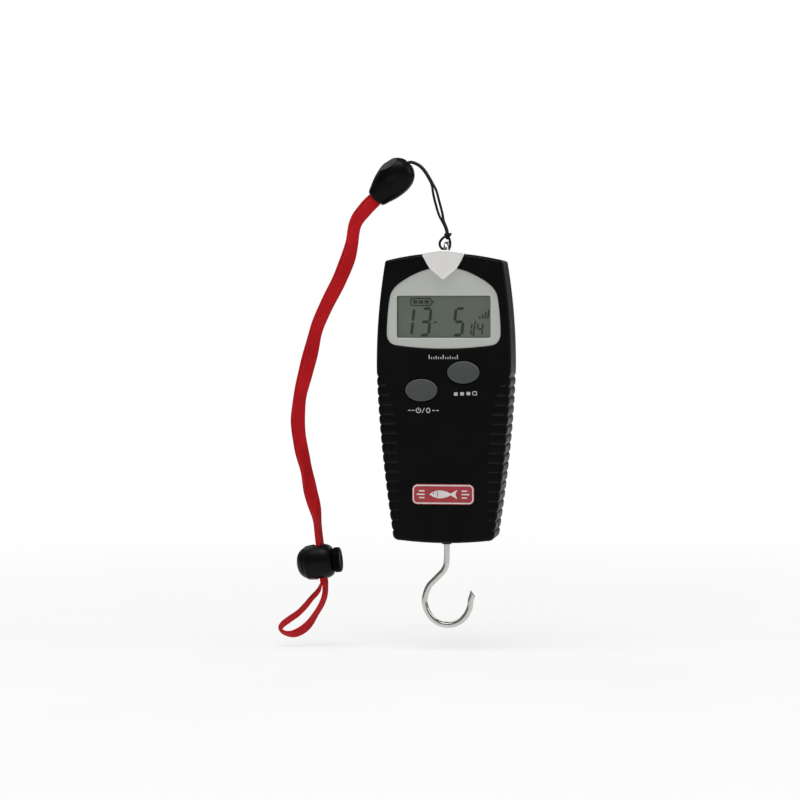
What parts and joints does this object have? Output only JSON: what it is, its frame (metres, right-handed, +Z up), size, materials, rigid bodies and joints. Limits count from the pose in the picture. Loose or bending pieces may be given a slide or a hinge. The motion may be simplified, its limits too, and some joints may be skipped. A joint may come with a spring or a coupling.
{
  "type": "digital fish scale",
  "caption": "Hand-held electronic hanging scale with a ribbed housing, display, oval keys, swivel hook, top eye and a wrist lanyard with a cord lock.",
  "frame": {"origin": "centre of the flat back of the housing, at half its height", "axes": "+Z up along the load line towards the hanging eye, -Y out of the display, +X to the right seen from the display side"},
  "size_m": [0.1048, 0.0273, 0.2152],
  "materials": {
    "shell": "satin moulded ABS with a fine spark texture",
    "silver_plastic": "satin silver paint on plastic",
    "clear_lens": "clear acrylic",
    "lcd_glass": "grey reflective liquid crystal display",
    "white_plastic": "plain moulded",
    "key_rubber": "grey silicone rubber",
    "black_rubber": "conductive elastomer",
    "badge": "red inlay with a white rim",
    "circuit_board": "green solder mask",
    "potting": "black epoxy",
    "stainless": "polished stainless wire",
    "zinc": "zinc-plated",
    "nickel": "nickel-plated",
    "aluminium": "machined",
    "battery_label": "plain wrapped cell",
    "foil": "polyimide film",
    "cable_jacket": "vinyl",
    "cord": "twisted nylon cord",
    "strap": "woven nylon ribbon",
    "connector_plastic": "moulded"
  },
  "bodies": {
    "housing": {"front_case": "shell", "rear_case": "shell", "top_cap": "silver_plastic", "display_bezel": "silver_plastic", "display_lens": "clear_lens", "lcd_panel": "lcd_glass", "lcd_frame": "white_plastic", "zebra_strip": "black_rubber", "main_board": "circuit_board", "chip_blob": "potting", "power_switch": "zinc", "memory_switch": "zinc", "badge_plate": "badge", "load_cell": "aluminium", "strain_gauge": "foil", "signal_cable": "cable_jacket", "load_cell_screw_1": "zinc", "load_cell_screw_2": "zinc", "eye_bushing": "nickel", "hook_bushing": "connector_plastic", "battery_1": "battery_label", "battery_2": "battery_label", "contact_negative": "nickel", "contact_positive": "nickel", "contact_bridge": "nickel", "case_screw_1": "zinc", "case_screw_2": "zinc", "case_screw_3": "zinc", "case_screw_4": "zinc", "board_screw_1": "zinc", "board_screw_2": "zinc"},
    "power_key": {"power_button": "key_rubber"},
    "memory_key": {"memory_button": "key_rubber"},
    "hook": {"hook": "stainless", "hook_nut": "zinc"},
    "eye": {"hanging_eye": "stainless", "eye_nut": "zinc"},
    "lanyard_cord": {"cord_loop": "cord"},
    "connector": {"connector_front_half": "connector_plastic", "connector_rear_half": "connector_plastic", "cord_crimp": "zinc", "strap_upper": "strap"},
    "strap_tail": {"strap_lower": "strap"},
    "cord_lock": {"cord_lock_body": "connector_plastic", "cord_lock_spring": "stainless"},
    "lock_plunger": {"cord_lock_plunger": "connector_plastic"},
    "door": {"battery_door": "shell"}
  },
  "joints": [
    {"name": "power_press", "type": "slide", "parent": "housing", "child": "power_key", "axis": [0, 1, 0], "range_m": [0, 0.0008], "stiffness_N_per_m": 600},
    {"name": "memory_press", "type": "slide", "parent": "housing", "child": "memory_key", "axis": [0, 1, 0], "range_m": [0, 0.0008], "stiffness_N_per_m": 600},
    {"name": "hook_swivel", "type": "hinge", "parent": "housing", "child": "hook", "pos_m": [0, -0.013, -0.06], "axis": [0, 0, 1], "continuous": true},
    {"name": "eye_swivel", "type": "hinge", "parent": "housing", "child": "eye", "pos_m": [0, -0.013, 0.0656], "axis": [0, 0, 1], "continuous": true},
    {"name": "lanyard_swing", "type": "hinge", "parent": "eye", "child": "lanyard_cord", "pos_m": [0, -0.013, 0.06855], "axis": [0, 1, 0], "range_deg": [-8, 100]},
    {"name": "connector_tilt", "type": "hinge", "parent": "lanyard_cord", "child": "connector", "pos_m": [-0.0169, -0.013, 0.105], "axis": [0, -1, 0], "range_deg": [-30, 7]},
    {"name": "strap_bend", "type": "hinge", "parent": "connector", "child": "strap_tail", "pos_m": [-0.0623, -0.013, 0.01828], "axis": [0, 1, 0], "range_deg": [-10, 45]},
    {"name": "lock_slide", "type": "slide", "parent": "strap_tail", "child": "cord_lock", "axis": [-0.1167, 0, 0.9932], "range_m": [0, 0.012]},
    {"name": "plunger_press", "type": "slide", "parent": "cord_lock", "child": "lock_plunger", "axis": [-0.9932, 0, -0.1167], "range_m": [0, 0.0025], "stiffness_N_per_m": 800, "deforming": ["cord_lock_spring"]},
    {"name": "door_swing", "type": "hinge", "parent": "housing", "child": "door", "pos_m": [0, -0.00095, 0.0044], "axis": [-1, 0, 0], "range_deg": [0, 75]}
  ]
}
